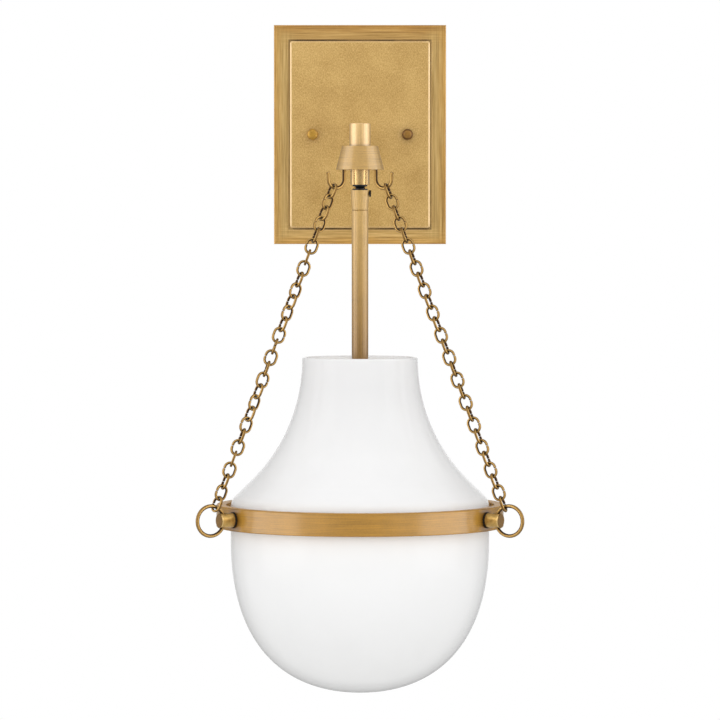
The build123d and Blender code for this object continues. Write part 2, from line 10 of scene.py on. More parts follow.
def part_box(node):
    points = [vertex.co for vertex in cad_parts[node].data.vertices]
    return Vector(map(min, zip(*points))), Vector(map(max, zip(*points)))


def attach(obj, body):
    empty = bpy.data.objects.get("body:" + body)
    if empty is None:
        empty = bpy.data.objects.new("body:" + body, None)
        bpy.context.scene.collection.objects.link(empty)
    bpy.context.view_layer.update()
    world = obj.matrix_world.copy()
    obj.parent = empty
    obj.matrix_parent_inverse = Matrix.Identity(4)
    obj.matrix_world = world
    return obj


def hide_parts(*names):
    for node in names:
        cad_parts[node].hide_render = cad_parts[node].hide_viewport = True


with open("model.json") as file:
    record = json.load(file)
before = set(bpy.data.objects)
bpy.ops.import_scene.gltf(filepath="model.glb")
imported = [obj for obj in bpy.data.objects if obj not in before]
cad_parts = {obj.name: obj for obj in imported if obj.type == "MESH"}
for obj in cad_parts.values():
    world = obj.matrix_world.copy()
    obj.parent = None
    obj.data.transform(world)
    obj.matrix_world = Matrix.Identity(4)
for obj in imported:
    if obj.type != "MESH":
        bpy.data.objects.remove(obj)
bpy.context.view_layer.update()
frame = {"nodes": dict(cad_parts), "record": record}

# Looks of a wall sconce: lacquered aged brass, darker chains, black swivel pieces and an opal glass shade.
# Metres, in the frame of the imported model: the wall is Y = 0, the front faces -Y and Z is up. Colours are
# linear.

# Places in the frame: the hoop, the upright axis through its middle and the rim of the glass
hoop_low, hoop_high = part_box("hoop_ring")
axis_from_wall = -(hoop_low[1] + hoop_high[1]) / 2
glass_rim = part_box("glass_shade")[1][2]

# The three suspensions
sides = ("left", "right", "rear")

# Camera, as found from the photo
camera_distance = 2.970
eye_height = -0.063
picture_middle = -0.1618
picture_width = 0.5083
sensor_width = 36.0
sight_limit = 100.0

# Light: the side boxes show in reflections only, the front box lights matt surfaces only
white = (1.0, 1.0, 1.0, 1.0)
black = (0.0, 0.0, 0.0, 1.0)
world_strength = 0.97
softboxes = {
    "left": {"place": (-1.5, -0.65, 0.15), "size": (1.5, 1.7), "power": 13.0, "reflects": True},
    "right": {"place": (1.5, -0.65, 0.15), "size": (1.5, 1.7), "power": 13.0, "reflects": True},
    "front": {"place": (0.0, -2.6, 0.4), "size": (2.4, 1.2), "power": 11.0, "reflects": False},
}
light_aim = (0.0, -0.15, -0.16)

# Soft grey cards that only reflections see: one behind the object, so that edges stand out from the white,
# and one behind the camera. glow is the light of a card from its middle to its edge.
cards = {
    "rear": {"place": (0.0, 0.7, -0.2), "radius": 1.7,
             "glow": ((0.10, 0.95), (0.28, 0.20), (0.60, 0.20), (1.00, 1.00))},
    "front": {"place": (0.0, -4.6, -0.1), "radius": 3.0, "glow": ((0.35, 0.44), (1.00, 1.00))},
}
card_corners = 48

# Floor
floor_height = -2.4
floor_radius = 6.0
floor_fade = (1.6, 4.8)
floor_corners = 96
floor_colour = (0.82, 0.82, 0.81, 1.0)

# Brass: its tones, and how dark or light they get by the level of its marks
brass_tone = (0.530, 0.315, 0.085)
hub_tone = (0.680, 0.435, 0.150)
cone_tone = (0.470, 0.273, 0.058)
post_tone = (0.640, 0.410, 0.150)
stem_tone = (0.600, 0.377, 0.116)
ring_tone = (0.422, 0.209, 0.018)
boss_tone = (0.500, 0.308, 0.082)
# The left cap nut's lighter tone is a painted highlight; the right one darkens at its edge with painted
# shade
left_nut_highlit_tone = (0.450, 0.245, 0.030)
right_nut_tone = (0.300, 0.150, 0.025)
tone_levels = ((0.36, 0.72), (0.50, 1.00), (0.64, 1.24))
# A darker brown tint, which on the stem and around the right cap nut is painted shade
brown_tint = (0.440, 0.355, 0.165, 1.0)
# A cream tone for painted highlights
edge_highlight_tone = (0.800, 0.580, 0.270, 1.0)

# Clear lacquer over brass
lacquer_roughness = 0.22
gloss_below_lacquer = 0.2

# Recesses: their depth, their darkening by patina and painted shade, and how open they are where the
# darkening is full and where it ends
recess_depth = 0.003
recess_patina_and_shade = (0.070, 0.035, 0.010, 1.0)
recess_range = (0.15, 0.80)

# Marks in surfaces: how deep they look, and how many cells they have per metre, along each axis where they
# run one way
mark_depth = 0.0003
fine_mark_depth = 0.0002
upright_grain = (1500.0, 1500.0, 25.0)
turned_grain = (30.0, 30.0, 2200.0)
arm_grain = (1500.0, 25.0, 1500.0)
# The post's broad upright streaks are brush marks and painted reflections of the hook shanks beside it
post_grain_and_reflection = (350.0, 350.0, 8.0)
nut_and_boss_grain = (500.0, 500.0, 500.0)
brass_blotches = 70.0
brass_specks = 1100.0
metal_marks = 400.0
dull_mottle = 300.0

# Marks near the bosses and the cap nut: how far from a boss the hoop turns darker brown, how far in from
# the end of a boss its brown end fades and its painted highlight lies around the rim, and between which
# radii the face of the right cap nut turns into its edge of painted shade
boss_brown_reach = (0.0085, 0.0135)
boss_end_fade = (0.0001, 0.0004)
boss_rim_depth = 0.0006
boss_rim_width = 0.0005
nut_edge = (0.0024, 0.0032)

# Wire of chains, hooks and loops: its tones from the inside of its bend to the outside, painted shade
# inside and at the outer edge with a painted highlight between, and the patina and painted shade of its
# recesses
wire_light_and_shade = ((0.10, (0.034, 0.015, 0.005)), (0.32, (0.13, 0.064, 0.015)), (0.46, (0.38, 0.215, 0.055)),
              (0.60, (0.58, 0.365, 0.120)), (0.80, (0.42, 0.245, 0.068)), (0.97, (0.21, 0.115, 0.030)))
wire_grime = 420.0
wire_patina_and_shade = (0.020, 0.009, 0.003, 1.0)
wire_recess_range = (0.20, 0.85)

# Wall plate, measured in from its edge: where its panel starts and where a painted highlight runs along it,
# how wide its outer faces are and where its dark rim fades. At its corners, tones and brush marks turn from
# its sides to its ends.
panel_step = (0.0117, 0.0123)
highlight_inset = 0.0126
highlight_width = 0.0009
outer_inset = 0.002
rim_fade = (0.0035, 0.0100)
rim_unevenness = 0.006
rim_corner = 0.004
tone_turn = 0.004
brush_turn = 0.011
plate_recess_depth = 0.0035
side_grain = (900.0, 900.0, 22.0)
end_grain = (22.0, 900.0, 900.0)
panel_grain = (1500.0, 1500.0, 800.0)
plate_blotches = 45.0
rim_tones = ((0.3, (0.27, 0.124, 0.016)), (0.5, (0.50, 0.272, 0.052)), (0.7, (0.69, 0.422, 0.115)))
inner_tones = ((0.3, (0.33, 0.195, 0.046)), (0.5, (0.55, 0.360, 0.115)), (0.7, (0.74, 0.525, 0.210)))
panel_tones = ((0.35, (0.43, 0.250, 0.058)), (0.5, (0.59, 0.370, 0.112)), (0.65, (0.74, 0.500, 0.180)))
# Painted shade along the top end of the border and painted light along its bottom end
top_shade_tint = (0.93, 0.84, 0.70, 1.0)
bottom_light_tint = (1.15, 1.12, 1.10, 1.0)
outer_tone = (0.50, 0.290, 0.066, 1.0)
# A painted highlight along the edge of the panel
panel_edge_highlight = (0.86, 0.640, 0.350, 1.0)
# Patina and painted shade in the groove around the panel
plate_patina_and_shade = (0.060, 0.036, 0.014, 1.0)

# Opal glass: its tones outside, its white of painted light inside and below the hoop, how far below its rim
# it starts to get greyer and is greyest, and how far below the hoop the painted light reaches, with its
# shares from there up to the hoop
outer_glass = ((0.3, (0.945, 0.945, 0.947)), (0.7, (0.960, 0.960, 0.962)))
painted_light_white = (0.985, 0.985, 0.985, 1.0)
neck_grey_tint = (0.885, 0.885, 0.890, 1.0)
neck_grey_span = (0.070, 0.020)
painted_light_reach = 0.075
painted_light_shares = ((0.0, 0.0), (0.707, 0.36), (0.933, 0.84))
light_reach = 0.012
light_share_outside = 0.35
glass_milk = (45.0, 45.0, 30.0)
glass_waves = (14.0, 14.0, 9.0)
glass_wave_depth = 0.002

# Frosted glass of the lamp
lamp_tones = ((0.3, (0.86, 0.86, 0.84)), (0.7, (0.93, 0.93, 0.91)))
lamp_frost = 500.0

# Chain links: the butt joint where the wire of a link closes, and how finely the wire is modelled
joint_gap = 0.0003
joint_round = 0.0003
link_sides = 14
link_arc_steps = 14
link_side_steps = 3
link_sharp_angle = 50.0
same_point = 1e-6


# Helpers

def middle(box):
    """The middle of a box."""
    return (Vector(box[0]) + Vector(box[1])) / 2


def new_object(name, data):
    """Adds an object to the scene."""
    made = bpy.data.objects.new(name, data)
    bpy.context.scene.collection.objects.link(made)
    return made


def aim(thing, target):
    """Turns a lamp or the camera towards a point."""
    thing.rotation_euler = (Vector(target) - thing.location).to_track_quat("-Z", "Y").to_euler()


# Shader nodes

def plug(tree, socket, value):
    """Links an output to a socket, or sets the socket to a constant."""
    if isinstance(value, bpy.types.NodeSocket):
        tree.links.new(value, socket)
    else:
        socket.default_value = value


def node(tree, kind, inputs=(), **settings):
    """Adds a shader node, sets its options, and sets or links its inputs by name or number."""
    made = tree.nodes.new("ShaderNode" + kind)
    for name, value in settings.items():
        setattr(made, name, value)
    for name, value in dict(inputs).items():
        plug(tree, made.inputs[name], value)
    return made


def maths(tree, operation, *values):
    """The result of maths with numbers."""
    return node(tree, "Math", enumerate(values), operation=operation).outputs[0]


def vectors(tree, operation, *values):
    """The result of maths with vectors: a number for a length, distance or dot product, else a vector."""
    outputs = node(tree, "VectorMath", enumerate(values), operation=operation).outputs
    return outputs["Value" if operation in ("LENGTH", "DISTANCE", "DOT_PRODUCT") else "Vector"]


def xyz(tree, vector):
    """The X, Y and Z of a vector."""
    return node(tree, "SeparateXYZ", {0: vector}).outputs


def ramp(tree, factor, stops):
    """A colour ramp with its stops given as (position, colour)."""
    made = node(tree, "ValToRGB", {"Fac": factor})
    elements = made.color_ramp.elements
    while len(elements) < len(stops):
        elements.new(0.5)
    for element, (position, colour) in zip(elements, stops):
        element.position = position
        element.color = (*colour, 1.0)
    return made.outputs["Color"]


def grey_ramp(tree, factor, stops):
    """A ramp of grey levels with its stops given as (position, level)."""
    return ramp(tree, factor, [(position, (level, level, level)) for position, level in stops])


def spread(tree, value, low, high, start=0.0, end=1.0):
    """Maps a value from start..end to low..high."""
    inputs = {"Value": value, "From Min": start, "From Max": end, "To Min": low, "To Max": high}
    return node(tree, "MapRange", inputs).outputs["Result"]


def mixed(tree, factor, first, second, blend="MIX"):
    """Mixes two colours."""
    made = node(tree, "Mix", {0: factor, 6: first, 7: second}, data_type="RGBA", blend_type=blend)
    return made.outputs[2]


def between(tree, factor, first, second):
    """Mixes two numbers."""
    return node(tree, "Mix", {0: factor, 2: first, 3: second}, data_type="FLOAT").outputs[0]


def own_place(tree):
    """The piece's own coordinates."""
    return node(tree, "TexCoord").outputs["Object"]


def own_facing(tree):
    """The direction that the surface faces, along the piece's own axes."""
    return node(tree, "TexCoord").outputs["Normal"]


def stretched_noise(tree, scale, detail=3.0, roughness=0.6):
    """Noise on the piece's own coordinates, with a scale along each axis in cells per metre."""
    place = node(tree, "Mapping", {"Vector": own_place(tree), "Scale": scale}).outputs["Vector"]
    inputs = {"Vector": place, "Scale": 1.0, "Detail": detail, "Roughness": roughness}
    return node(tree, "TexNoise", inputs).outputs["Fac"]


def even_noise(tree, scale, detail=3.0):
    """Noise with one scale along all axes."""
    return stretched_noise(tree, (scale, scale, scale), detail)


def bump(tree, height, strength, distance):
    """The direction of a surface with marks of this height."""
    inputs = {"Height": height, "Strength": strength, "Distance": distance}
    return node(tree, "Bump", inputs).outputs["Normal"]


def recess(tree, depth):
    """1 on open surfaces and less in recesses of about this depth."""
    return node(tree, "AmbientOcclusion", {"Distance": depth}, samples=8).outputs["AO"]


def blank(name):
    """A new material with its node tree and its main shader."""
    made = bpy.data.materials.new(name)
    made.use_nodes = True
    tree = made.node_tree
    return made, tree, tree.nodes["Principled BSDF"]


def feed(tree, shader, **inputs):
    """Sets or links inputs of the main shader, with _ for a space in their names."""
    for name, value in inputs.items():
        plug(tree, shader.inputs[name.replace("_", " ")], value)


# Aged brass

def toned(colour, share):
    """A darker or lighter tone of a colour."""
    return tuple(channel * share for channel in colour)


def lacquered(tree, shader, weight=1.0, ior=1.5):
    """Sets the clear lacquer over brass. weight is a number, or a function that makes the share of the
    surface that the lacquer covers."""
    feed(tree, shader, Coat_Weight=weight(tree) if callable(weight) else weight)
    feed(tree, shader, Coat_IOR=ior, Coat_Roughness=lacquer_roughness)
    feed(tree, shader, Specular_IOR_Level=gloss_below_lacquer)


def aged_brass(name, tone, grain, patina_and_shade=1.0, brown_tinted=None, highlighted=None, metallic=0.5, matt=0.42,
               **lacquer):
    """Brushed brass with blotches of patina. grain is the scale of the brush marks along each axis,
    patina_and_shade is how dark its recesses get with patina and painted shade, matt is its least
    roughness, brown_tinted makes the share of the surface that is tinted darker brown, in places as painted
    shade, and highlighted makes the share that carries a painted highlight."""
    made, tree, shader = blank(name)
    streaks = stretched_noise(tree, grain, detail=4.0, roughness=0.65)
    blotches = even_noise(tree, brass_blotches, detail=5.0)
    specks = even_noise(tree, brass_specks, detail=2.0)
    level = maths(tree, "MULTIPLY_ADD", streaks, 0.60, maths(tree, "MULTIPLY", blotches, 0.20))
    level = maths(tree, "MULTIPLY_ADD", specks, 0.20, level)
    colour = ramp(tree, level, [(position, toned(tone, share)) for position, share in tone_levels])
    # Tints darker brown: painted shade on the stem and around the right cap nut
    if brown_tinted:
        colour = mixed(tree, brown_tinted(tree), colour, brown_tint, "MULTIPLY")
    # Adds a painted highlight
    if highlighted:
        colour = mixed(tree, highlighted(tree), colour, edge_highlight_tone)
    # Recesses darken with patina and painted shade
    closed = spread(tree, recess(tree, recess_depth), patina_and_shade, 0.0, *recess_range)
    colour = mixed(tree, closed, colour, recess_patina_and_shade)
    feed(tree, shader, Base_Color=colour, Metallic=metallic)
    feed(tree, shader, Roughness=spread(tree, level, matt, matt + 0.17, 0.3, 0.7))
    feed(tree, shader, Normal=bump(tree, streaks, 0.12, mark_depth))
    lacquered(tree, shader, **lacquer)
    return made


def off_the_top(tree):
    """1 on upright faces and little on faces that look up or down."""
    upward = maths(tree, "ABSOLUTE", xyz(tree, own_facing(tree))["Z"])
    return spread(tree, upward, 1.0, 0.3, 0.3, 0.8)


def down_the_stem(tree):
    """From 0 at the top of the stem to 1 where it enters the shade, for the painted shade that darkens the
    stem towards the bottom.
    """
    height = xyz(tree, own_place(tree))["Z"]
    return spread(tree, height, 0.0, 1.0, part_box("swivel_collar")[1][2], glass_rim)


def to_boss_end(tree):
    """Distance of the surface of a boss from the end of the boss."""
    place = xyz(tree, own_place(tree))
    forward = maths(tree, "ADD", place["Y"], axis_from_wall)
    square = maths(tree, "MULTIPLY", forward, forward)
    square = maths(tree, "MULTIPLY_ADD", place["X"], place["X"], square)
    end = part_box("boss_rear")[1][1] + axis_from_wall
    return maths(tree, "SUBTRACT", end, maths(tree, "SQRT", square))


def on_boss_end(tree):
    """1 on the end faces of the bosses and 0 elsewhere."""
    return spread(tree, to_boss_end(tree), 1.0, 0.0, *boss_end_fade)


def on_boss_rim(tree):
    """Most around the ends of the bosses, where a painted highlight lies, and 0 elsewhere."""
    off_rim = maths(tree, "ABSOLUTE", maths(tree, "SUBTRACT", to_boss_end(tree), boss_rim_depth))
    return spread(tree, off_rim, 0.8, 0.0, 0.0, boss_rim_width)


def near_bosses(tree):
    """Most on the hoop close to a boss and 0 away from it."""
    place = own_place(tree)
    nearest = 1.0
    for side in sides:
        far = vectors(tree, "DISTANCE", place, middle(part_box("boss_" + side)))
        nearest = maths(tree, "MINIMUM", nearest, far)
    return spread(tree, nearest, 0.8, 0.0, *boss_brown_reach)


def on_nut_edge(tree):
    """From 0 on the face of the right cap nut to 1 around it, where painted shade darkens its edge."""
    offset = vectors(tree, "SUBTRACT", own_place(tree), middle(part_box("cap_nut_right")))
    across = vectors(tree, "MULTIPLY", offset, (1.0, 0.0, 1.0))
    return spread(tree, vectors(tree, "LENGTH", across), 0.0, 1.0, *nut_edge)


# Brass wire

def side_of_piece(tree, centre):
    """From -1 where the surface faces the centre to 1 where it faces away."""
    away = vectors(tree, "NORMALIZE", vectors(tree, "SUBTRACT", own_place(tree), centre))
    return vectors(tree, "DOT_PRODUCT", away, own_facing(tree))


def shaded_wire_brass(name, centre=None):
    """Dark brass wire with a painted highlight along its faces, painted shade at its outer edge and nearly
    black painted shade on the inside of a ring or hook, with patina and painted shade in recesses. Without
    a centre, the side comes from an attribute of the mesh."""
    made, tree, shader = blank(name)
    if centre is None:
        side = node(tree, "Attribute", attribute_name="bend_side").outputs["Fac"]
    else:
        side = side_of_piece(tree, centre)
    grime = even_noise(tree, wire_grime, detail=4.0)
    level = maths(tree, "MULTIPLY_ADD", grime, 0.3, spread(tree, side, -0.15, 0.85, -1.0, 1.0))
    closed = spread(tree, recess(tree, recess_depth), 1.0, 0.0, *wire_recess_range)
    # Painted highlight and shade across the wire, and patina and painted shade in its recesses
    colour = mixed(tree, closed, ramp(tree, level, wire_light_and_shade), wire_patina_and_shade)
    feed(tree, shader, Base_Color=colour, Metallic=1.0, Roughness=spread(tree, grime, 0.34, 0.50))
    feed(tree, shader, Normal=bump(tree, grime, 0.10, mark_depth))
    lacquered(tree, shader, weight=0.25)
    return made


# Wall plate

def from_plate_edges(tree):
    """How far the surface of the wall plate is from its nearest side and from its nearest end."""
    low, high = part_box("backplate")
    place = xyz(tree, own_place(tree))
    from_side = maths(tree, "SUBTRACT", (high[0] - low[0]) / 2, maths(tree, "ABSOLUTE", place["X"]))
    from_end = maths(tree, "SUBTRACT", (high[2] - low[2]) / 2, maths(tree, "ABSOLUTE", place["Z"]))
    return from_side, from_end


def by_the_sides(tree, edges, turn):
    """1 along the sides of the plate and 0 along its ends. At a corner it changes where the distances from
    side and end differ by less than turn."""
    from_side, from_end = edges
    return spread(tree, maths(tree, "SUBTRACT", from_end, from_side), 0.0, 1.0, -turn, turn)


def border_marks(tree, edges):
    """Brush marks along each side and end of the border."""
    upright = stretched_noise(tree, side_grain, detail=5.0, roughness=0.7)
    level = stretched_noise(tree, end_grain, detail=5.0, roughness=0.7)
    return between(tree, by_the_sides(tree, edges, brush_turn), level, upright)


def border_colour(tree, edges, marks, blotches):
    """Brass that is darker at the rim, with painted shade that browns it along the top and painted light
    that pales it along the bottom.
    """
    inset = maths(tree, "SMOOTH_MIN", *edges, rim_corner)
    uneven = maths(tree, "MULTIPLY_ADD", blotches, rim_unevenness, inset)
    inwards = spread(tree, uneven, 0.0, 1.0, *rim_fade)
    colour = mixed(tree, inwards, ramp(tree, marks, rim_tones), ramp(tree, marks, inner_tones))
    at_ends = spread(tree, by_the_sides(tree, edges, brush_turn), 1.0, 0.0)
    height = xyz(tree, own_place(tree))["Z"]
    # Painted shade along the top end, painted light along the bottom end
    for half, tint in (("GREATER_THAN", top_shade_tint), ("LESS_THAN", bottom_light_tint)):
        there = maths(tree, "MULTIPLY", at_ends, maths(tree, half, height, 0.0))
        colour = mixed(tree, there, colour, tint, "MULTIPLY")
    return colour


def on_outer_faces(tree, inset):
    """Most on the faces around the plate, which look neither to the front nor to the wall."""
    forward = maths(tree, "ABSOLUTE", xyz(tree, own_facing(tree))["Y"])
    turned = spread(tree, forward, 0.65, 0.0, 0.2, 0.6)
    return maths(tree, "MULTIPLY", turned, maths(tree, "LESS_THAN", inset, outer_inset))


def on_panel_edge(tree, inset, at_sides):
    """1 along the edge of the panel at its sides, where a painted highlight lies, and little along its
    ends.
    """
    off_edge = maths(tree, "ABSOLUTE", maths(tree, "SUBTRACT", inset, highlight_inset))
    highlighted = spread(tree, off_edge, 1.0, 0.0, 0.0, highlight_width)
    return maths(tree, "MULTIPLY", highlighted, spread(tree, at_sides, 0.20, 1.0))


def patina_and_shade_in_plate_recesses(tree, blotches, at_sides):
    """Most in the groove at the ends of the panel, less at its sides, and uneven along it: patina and
    painted shade.
    """
    closed = spread(tree, recess(tree, plate_recess_depth), 1.0, 0.0, *recess_range)
    closed = maths(tree, "MULTIPLY", closed, spread(tree, blotches, 0.4, 1.3, 0.35, 0.65))
    return maths(tree, "MULTIPLY", closed, spread(tree, at_sides, 1.15, 0.28))


def plate_brass():
    """The wall plate: a speckled panel with painted highlights on its edges, in a border brushed along each
    side.
    """
    made, tree, shader = blank("plate_brass")
    edges = from_plate_edges(tree)
    inset = maths(tree, "MINIMUM", *edges)
    on_panel = spread(tree, inset, 0.0, 1.0, *panel_step)
    at_sides = by_the_sides(tree, edges, tone_turn)
    blotches = even_noise(tree, plate_blotches, detail=5.0)
    specks = stretched_noise(tree, panel_grain, detail=3.0, roughness=0.7)
    speckled = maths(tree, "MULTIPLY_ADD", blotches, 0.28, maths(tree, "MULTIPLY", specks, 0.72))
    marks = border_marks(tree, edges)
    worked = between(tree, on_panel, marks, speckled)

    colour = border_colour(tree, edges, marks, blotches)
    colour = mixed(tree, on_panel, colour, ramp(tree, speckled, panel_tones))
    colour = mixed(tree, on_outer_faces(tree, inset), colour, outer_tone)
    # A painted highlight along the panel's edge, strongest at its sides
    colour = mixed(tree, on_panel_edge(tree, inset, at_sides), colour, panel_edge_highlight)
    # Patina and painted shade in the groove around the panel
    colour = mixed(tree, patina_and_shade_in_plate_recesses(tree, blotches, at_sides), colour, plate_patina_and_shade)
    feed(tree, shader, Base_Color=colour, Metallic=0.5)
    feed(tree, shader, Roughness=spread(tree, worked, 0.42, 0.60, 0.3, 0.7))
    feed(tree, shader, Normal=bump(tree, worked, 0.14, mark_depth))
    lacquered(tree, shader)
    return made


# Other metals, plastics, rubber and glass

def metal(name, dark, light, roughness):
    """Plain metal with faint marks of handling."""
    made, tree, shader = blank(name)
    marks = even_noise(tree, metal_marks, detail=4.0)
    feed(tree, shader, Base_Color=ramp(tree, marks, ((0.3, dark), (0.7, light))), Metallic=0.7)
    feed(tree, shader, Roughness=spread(tree, marks, roughness - 0.08, roughness + 0.08))
    feed(tree, shader, Normal=bump(tree, marks, 0.08, fine_mark_depth))
    return made


def dull(name, dark, light, roughness, gloss=0.5):
    """Plastic, rubber or glaze with a little tone and texture."""
    made, tree, shader = blank(name)
    mottle = even_noise(tree, dull_mottle, detail=4.0)
    feed(tree, shader, Base_Color=ramp(tree, mottle, ((0.3, dark), (0.7, light))))
    feed(tree, shader, Roughness=spread(tree, mottle, roughness - 0.06, roughness + 0.06))
    feed(tree, shader, Normal=bump(tree, mottle, 0.06, fine_mark_depth), Specular_IOR_Level=gloss)
    return made


def below_hoop(tree, height):
    """The share of painted light that fills the hoop's shadow: most just below the hoop, fading down the
    bowl, and 0 above the hoop.
    """
    low, high = hoop_low[2], hoop_high[2]
    share = grey_ramp(tree, spread(tree, height, 0.0, 1.0, low - painted_light_reach, low), painted_light_shares)
    return maths(tree, "MULTIPLY", share, spread(tree, height, 1.0, 0.0, low, high))


def opal_glass():
    """White cased glass, greyer at the neck, with a band of painted light below the hoop that fills its
    shadow, and with the slow waves of blown glass. Its inside is whiter with painted light, and light sinks
    in most there."""
    made, tree, shader = blank("opal_glass")
    waves = stretched_noise(tree, glass_waves, detail=1.0)
    milk = stretched_noise(tree, glass_milk, detail=3.0)
    height = xyz(tree, own_place(tree))["Z"]
    towards_neck = spread(tree, height, 0.0, 1.0, *(glass_rim - drop for drop in neck_grey_span))
    light_below_hoop = below_hoop(tree, height)
    outside = side_of_piece(tree, middle(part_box("glass_shade")))
    outside = spread(tree, outside, 0.0, 1.0, -0.05, 0.05)

    colour = mixed(tree, towards_neck, ramp(tree, milk, outer_glass), neck_grey_tint, "MULTIPLY")
    # Painted light: whiter glass below the hoop to fill its shadow, and whiter glass inside
    colour = mixed(tree, light_below_hoop, colour, painted_light_white)
    colour = mixed(tree, outside, painted_light_white, colour)
    share = between(tree, outside, 1.0, spread(tree, light_below_hoop, light_share_outside, 0.0))
    feed(tree, shader, Base_Color=colour, Subsurface_Weight=share)
    feed(tree, shader, Subsurface_Scale=light_reach, Subsurface_Radius=(1.0, 1.0, 1.0))
    feed(tree, shader, Roughness=spread(tree, milk, 0.10, 0.16))
    feed(tree, shader, Normal=bump(tree, waves, 0.10, glass_wave_depth))
    feed(tree, shader, IOR=1.5, Specular_IOR_Level=0.18)
    return made


def lamp_glass():
    """Frosted white glass."""
    made, tree, shader = blank("lamp_glass")
    frost = even_noise(tree, lamp_frost, detail=2.0)
    feed(tree, shader, Base_Color=ramp(tree, frost, lamp_tones))
    feed(tree, shader, Roughness=spread(tree, frost, 0.30, 0.45))
    return made


# Finishes of the pieces

def finishes_of_slots():
    """The finish of each material slot."""
    return {
        "aged_brass": aged_brass("upright_brass", brass_tone, upright_grain),
        "chain_brass": shaded_wire_brass("chain_brass"),
        "black_steel": metal("black_steel", (0.010, 0.010, 0.011), (0.03, 0.03, 0.032), 0.38),
        "zinc_steel": metal("zinc_steel", (0.42, 0.43, 0.44), (0.60, 0.60, 0.58), 0.36),
        "earth_green": metal("earth_green", (0.02, 0.16, 0.05), (0.05, 0.28, 0.10), 0.35),
        "opal_glass": opal_glass(),
        "lamp_glass": lamp_glass(),
        "lamp_metal": metal("lamp_metal", (0.58, 0.58, 0.58), (0.72, 0.72, 0.71), 0.26),
        "porcelain": dull("porcelain", (0.78, 0.77, 0.73), (0.86, 0.85, 0.81), 0.15),
        "bare_brass": metal("bare_brass", (0.60, 0.42, 0.15), (0.75, 0.55, 0.24), 0.28),
        "liner_plastic": dull("liner_plastic", (0.74, 0.74, 0.72), (0.82, 0.82, 0.80), 0.45),
        "seal_rubber": dull("seal_rubber", (0.62, 0.62, 0.60), (0.72, 0.72, 0.70), 0.55),
        "washer_rubber": dull("washer_rubber", (0.012, 0.008, 0.006), (0.028, 0.018, 0.012), 0.6,
                              gloss=0.1),
        "lead_insulation": dull("lead_insulation", (0.70, 0.66, 0.54), (0.80, 0.76, 0.64), 0.4),
    }


def finishes_of_nodes():
    """The finishes of the nodes that look unlike the rest of their slot."""
    arm_brass = aged_brass("arm_brass", brass_tone, arm_grain)
    turned_brass = aged_brass("turned_brass", cone_tone, turned_grain, metallic=0.2, ior=1.66)
    # The stem is darkened towards the bottom with painted shade
    stem_brass = aged_brass("stem_brass", stem_tone, upright_grain, brown_tinted=down_the_stem,
                            metallic=0.4, ior=1.58)
    return {
        "backplate": plate_brass(),
        "hub": aged_brass("hub_brass", hub_tone, upright_grain, ior=1.9),
        "arm": arm_brass,
        "arm_washer": arm_brass,
        "arm_nut": arm_brass,
        "hook_cone": turned_brass,
        "socket_cap": turned_brass,
        "hoop_ring": aged_brass("ring_brass", ring_tone, turned_grain, patina_and_shade=0.6, brown_tinted=near_bosses,
                                metallic=0.15, ior=1.6, weight=off_the_top),
        # Brush marks and painted reflections of the hook shanks run up the post
        "swivel_post": aged_brass("post_brass", post_tone, post_grain_and_reflection, metallic=0.9, matt=0.18),
        "swivel_collar": stem_brass,
        "stem_tube": stem_brass,
        # The left cap nut's lighter tone is a painted highlight
        "cap_nut_left": aged_brass("left_nut_brass", left_nut_highlit_tone, nut_and_boss_grain, weight=0.4),
        "cap_nut_right": aged_brass("right_nut_brass", right_nut_tone, nut_and_boss_grain,
                                    brown_tinted=on_nut_edge, weight=0.4),
    }


def finishes_of_suspensions():
    """One finish for the bosses, and one for each hook and loop, with painted shade towards the middle of
    its bend.
    """
    # The ends of the bosses carry a painted highlight around their rims
    boss_brass = aged_brass("boss_brass", boss_tone, nut_and_boss_grain, brown_tinted=on_boss_end,
                            highlighted=on_boss_rim, metallic=0.85, matt=0.28, weight=0.35)
    finishes = {"boss_" + side: boss_brass for side in sides}
    for name in (kind + side for kind in ("hook_", "loop_") for side in sides):
        finishes[name] = shaded_wire_brass(name + "_brass", middle(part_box(name)))
    return finishes


def dress_cad_nodes(of_slots, of_nodes):
    """Gives each CAD node the finish of its own or of its material slot."""
    for part in frame["record"]["subparts"]:
        name, slot = part["node"], part["material_slot"]
        mesh = frame["nodes"][name].data
        mesh.materials.clear()
        mesh.materials.append(of_nodes.get(name, of_slots[slot]))


# Chains

def islands(mesh):
    """The points of each separate solid of a CAD mesh."""
    work = bmesh.new()
    work.from_mesh(mesh)
    bmesh.ops.remove_doubles(work, verts=work.verts, dist=same_point)
    waiting = set(work.verts)
    found = []
    while waiting:
        reached = [waiting.pop()]
        for vertex in reached:
            near = [edge.other_vert(vertex) for edge in vertex.link_edges]
            fresh = [other for other in near if other in waiting]
            waiting.difference_update(fresh)
            reached.extend(fresh)
        found.append(np.array([vertex.co for vertex in reached]))
    work.free()
    return found


def link_frame(points):
    """Place and size of a link: its axes run across its flat side, across its width and along it."""
    centre = (points.min(axis=0) + points.max(axis=0)) / 2
    axes = np.linalg.eigh(np.cov((points - centre).T))[1]
    local = (points - centre) @ axes
    size = local.max(axis=0) - local.min(axis=0)
    place = Matrix.Translation(centre) @ Matrix(axes.tolist()).to_4x4()
    return place, size


